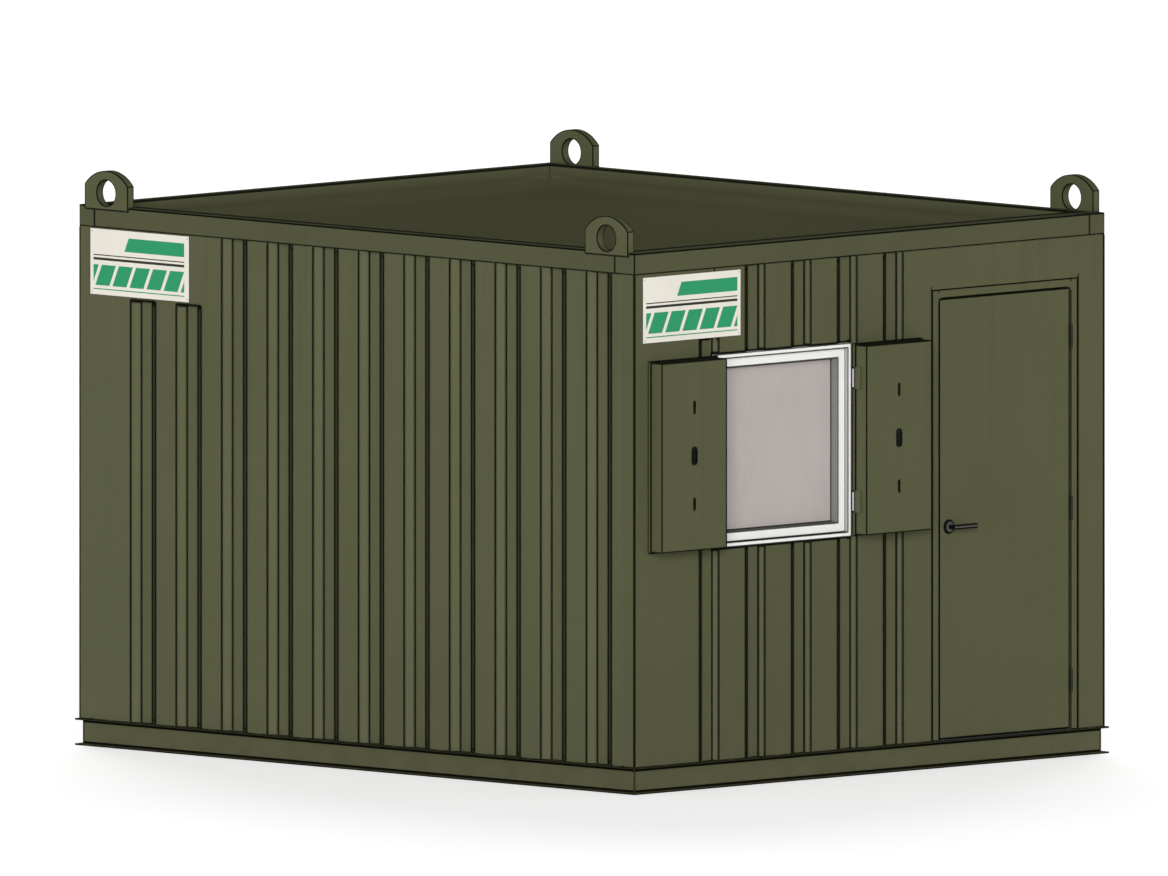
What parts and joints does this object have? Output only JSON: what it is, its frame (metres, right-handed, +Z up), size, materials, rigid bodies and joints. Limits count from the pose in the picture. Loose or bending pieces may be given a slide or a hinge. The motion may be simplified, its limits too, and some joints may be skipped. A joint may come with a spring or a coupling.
{
  "type": "portable site cabin",
  "caption": "Steel portable cabin with ribbed walls, channel base, tray roof with lifting lugs, hinged door, window and folded-back steel shutters.",
  "frame": {"origin": "middle of the overall footprint at ground level", "axes": "+Z up; -Y faces out of the end wall with the door and window; +Y runs back along the long side walls; +X is to the right seen from outside the door"},
  "size_m": [3.098, 3.757, 2.6808],
  "materials": {
    "cabin_paint": "satin olive green paint",
    "roof_paint": "matt dark olive paint",
    "shutter_paint": "satin olive green paint",
    "window_white": "white window frame, satin",
    "glass": "clear double glazing, faintly grey",
    "hinge_steel": "zinc-plated steel",
    "handle_grey": "dark grey handle",
    "pull_black": "black sunk pull with worn bar",
    "sign_blank": "cream coated plate",
    "lining_board": "pale faced board",
    "deck_ply": "sealed plywood deck",
    "joist_steel": "dark primer",
    "threshold_steel": "worn steel strip"
  },
  "bodies": {
    "cabin": {"base_beam_front": "cabin_paint", "base_beam_back": "cabin_paint", "base_beam_left": "cabin_paint", "base_beam_right": "cabin_paint", "wall_left": "cabin_paint", "wall_right": "cabin_paint", "wall_back": "cabin_paint", "front_wall_left": "cabin_paint", "front_wall_under_window": "cabin_paint", "front_wall_over_window": "cabin_paint", "front_wall_middle": "cabin_paint", "front_wall_over_door": "cabin_paint", "front_wall_right": "cabin_paint", "roof_beam_front": "cabin_paint", "roof_beam_back": "cabin_paint", "roof_beam_left": "cabin_paint", "roof_beam_right": "cabin_paint", "lifting_lugs": "cabin_paint", "door_jambs": "cabin_paint", "door_head": "cabin_paint", "door_hinges_fixed": "cabin_paint", "roof_panel": "roof_paint", "shutter_brackets": "hinge_steel", "window_frame": "window_white", "window_sash": "window_white", "window_glass": "glass", "sign_plates": "sign_blank", "wall_linings": "lining_board", "ceiling_panel": "lining_board", "floor_deck": "deck_ply", "floor_joists": "joist_steel", "door_threshold": "threshold_steel"},
    "door": {"door_leaf": "cabin_paint", "door_hinges_moving": "cabin_paint", "door_rosettes": "handle_grey"},
    "door_handle": {"door_lever_outside": "handle_grey", "door_lever_inside": "handle_grey"},
    "left_shutter": {"left_shutter_pan": "shutter_paint", "left_shutter_box": "shutter_paint", "left_shutter_pull": "pull_black", "left_shutter_flaps": "hinge_steel"},
    "right_shutter": {"right_shutter_pan": "shutter_paint", "right_shutter_box": "shutter_paint", "right_shutter_pull": "pull_black", "right_shutter_flaps": "hinge_steel"}
  },
  "joints": [
    {"name": "door_hinge", "type": "hinge", "parent": "cabin", "child": "door", "pos_m": [1.3125, -1.7915, 1.19], "axis": [0, 0, 1], "range_deg": [0, 110]},
    {"name": "door_handle_turn", "type": "hinge", "parent": "door", "child": "door_handle", "pos_m": [0.52, -1.7855, 1.117], "axis": [0, 1, 0], "range_deg": [0, 45], "stiffness_Nm_per_rad": 1.5, "springref_deg": -34.38},
    {"name": "left_shutter_hinge", "type": "hinge", "parent": "cabin", "child": "left_shutter", "pos_m": [-1.0115, -1.8355, 1.563], "axis": [0, 0, 1], "range_deg": [0, 180]},
    {"name": "right_shutter_hinge", "type": "hinge", "parent": "cabin", "child": "right_shutter", "pos_m": [-0.119, -1.8355, 1.563], "axis": [0, 0, -1], "range_deg": [0, 180]}
  ]
}
